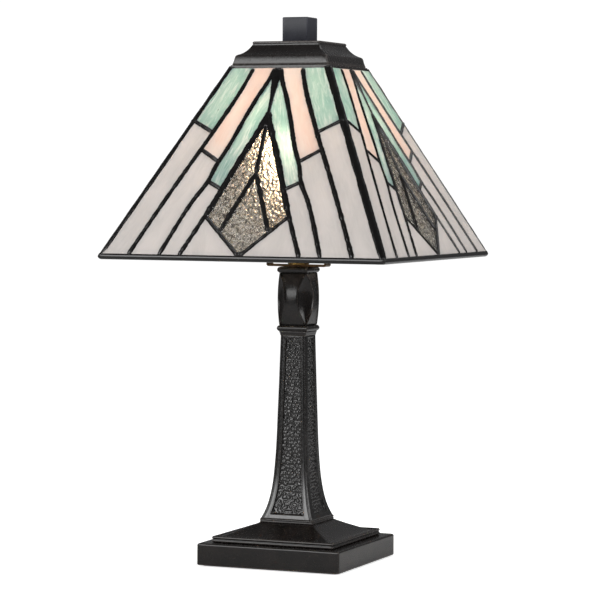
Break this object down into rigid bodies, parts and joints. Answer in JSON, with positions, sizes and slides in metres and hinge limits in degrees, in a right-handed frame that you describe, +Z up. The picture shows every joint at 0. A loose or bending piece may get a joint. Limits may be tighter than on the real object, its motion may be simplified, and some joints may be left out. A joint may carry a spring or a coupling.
{
  "type": "stained glass table lamp",
  "caption": "Table lamp: square pyramid shade of leaded opal glass with a kite motif, on a tapered square bronze column with hammered panels and a stepped square base.",
  "frame": {"origin": "middle of the felt's underside, on the column's axis", "axes": "+Z up along the column, -Y towards the front, +X to the right"},
  "size_m": [0.308, 0.308, 0.5595],
  "materials": {
    "felt": "woven felt",
    "bronze_casting": "satin dark bronze",
    "brass": "satin",
    "antique_brass": "antique, satin",
    "steel": "zinc plated",
    "black_plastic": "moulded",
    "liner_card": "pressed fibre",
    "bulb_glass": "frosted",
    "bulb_wire": "drawn wire and glass stem",
    "dark_solder": "black patina on solder",
    "bronze_sheet": "dark bronze patina, satin",
    "slate_finial": "matte slate",
    "green_glass": "streaky opal, rippled",
    "peach_glass": "opal, smooth",
    "white_glass": "wispy opal, rippled",
    "clear_glass": "hammered, clear"
  },
  "bodies": {
    "stand": {"felt_pad": "felt", "base_plate": "bronze_casting", "stepped_plinth": "bronze_casting", "foot_ring": "bronze_casting", "column": "bronze_casting", "lower_neck_collar": "bronze_casting", "neck_baluster": "bronze_casting", "upper_neck_collar": "bronze_casting", "threaded_pipe": "brass", "base_washer": "steel", "base_nut": "steel", "cord_grommet": "black_plastic", "harp_saddle": "antique_brass", "saddle_posts": "antique_brass", "pipe_locknut": "brass", "socket_cap": "brass", "socket_shell": "brass", "socket_liner": "liner_card", "socket_core": "black_plastic", "screw_shell": "brass", "centre_contact": "brass"},
    "switch": {"switch_shaft": "brass", "switch_knob": "black_plastic"},
    "bulb": {"bulb_glass": "bulb_glass", "bulb_screw_cap": "steel", "bulb_tip": "black_plastic", "bulb_mount": "bulb_wire"},
    "harp": {"harp_loop": "antique_brass"},
    "sleeve_left": {"harp_sleeve_left": "antique_brass"},
    "sleeve_right": {"harp_sleeve_right": "antique_brass"},
    "stud": {"harp_stud": "brass"},
    "shade": {"corner_lines": "dark_solder", "rim_band": "dark_solder", "collar_band": "bronze_sheet", "vented_cap": "bronze_sheet", "solder_lines_front": "dark_solder", "solder_lines_right": "dark_solder", "solder_lines_back": "dark_solder", "solder_lines_left": "dark_solder", "green_glass_front": "green_glass", "green_glass_right": "green_glass", "green_glass_back": "green_glass", "green_glass_left": "green_glass", "peach_glass_front": "peach_glass", "peach_glass_right": "peach_glass", "peach_glass_back": "peach_glass", "peach_glass_left": "peach_glass", "white_glass_front": "white_glass", "white_glass_right": "white_glass", "white_glass_back": "white_glass", "white_glass_left": "white_glass", "clear_glass_front": "clear_glass", "clear_glass_right": "clear_glass", "clear_glass_back": "clear_glass", "clear_glass_left": "clear_glass"},
    "finial": {"finial_block": "slate_finial", "finial_insert": "brass"}
  },
  "joints": [
    {"name": "switch_turn", "type": "hinge", "parent": "stand", "child": "switch", "pos_m": [0, 0, 0.335], "axis": [0, -1, 0], "continuous": true},
    {"name": "bulb_unscrew", "type": "slide", "parent": "stand", "child": "bulb", "axis": [0, 0, 1], "range_m": [0, 0.03]},
    {"name": "harp_lift", "type": "slide", "parent": "stand", "child": "harp", "axis": [0, 0, 1], "range_m": [0, 0.04]},
    {"name": "sleeve_left_raise", "type": "slide", "parent": "harp", "child": "sleeve_left", "axis": [0, 0, 1], "range_m": [0, 0.014]},
    {"name": "sleeve_right_raise", "type": "slide", "parent": "harp", "child": "sleeve_right", "axis": [0, 0, 1], "range_m": [0, 0.014]},
    {"name": "shade_swivel", "type": "hinge", "parent": "harp", "child": "stud", "pos_m": [0, 0, 0.53], "axis": [0, 0, 1], "continuous": true},
    {"name": "shade_lift", "type": "slide", "parent": "stud", "child": "shade", "axis": [0, 0, 1], "range_m": [0, 0.25]},
    {"name": "finial_turn", "type": "hinge", "parent": "shade", "child": "finial", "pos_m": [0, 0, 0.534], "axis": [0, 0, 1], "continuous": true}
  ]
}
